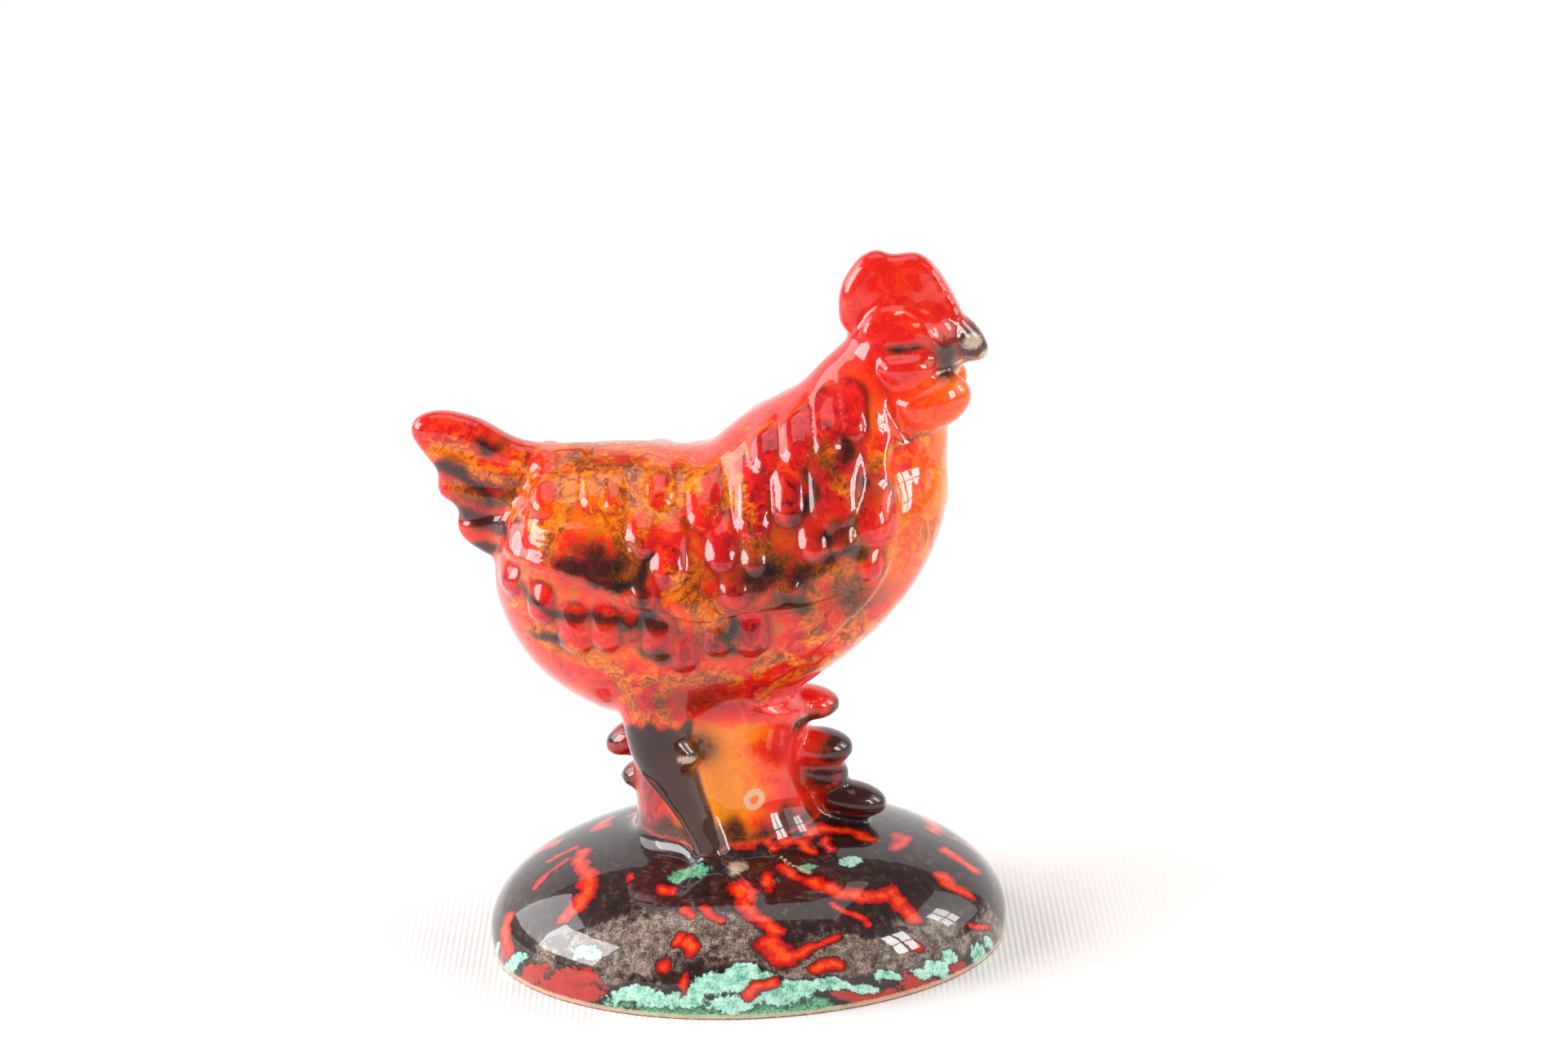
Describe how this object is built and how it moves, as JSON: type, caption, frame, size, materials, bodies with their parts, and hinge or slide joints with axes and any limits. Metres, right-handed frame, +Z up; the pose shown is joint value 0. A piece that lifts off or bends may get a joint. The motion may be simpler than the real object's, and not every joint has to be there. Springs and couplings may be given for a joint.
{
  "type": "hen figurine",
  "caption": "Glossy red and orange glazed hen standing on a dark oval mound, cast hollow in one piece with a flat foot ring and a pour hole underneath.",
  "frame": {"origin": "bottom centre of the bounding box, on the plane that the foot ring rests on", "axes": "+Z up, +X the way the hen faces, +Y to the hen's left"},
  "size_m": [0.1196, 0.0826, 0.1498],
  "materials": {
    "glazed_body": "gloss"
  },
  "bodies": {
    "root": {"hen_figurine": "glazed_body"}
  },
  "joints": []
}
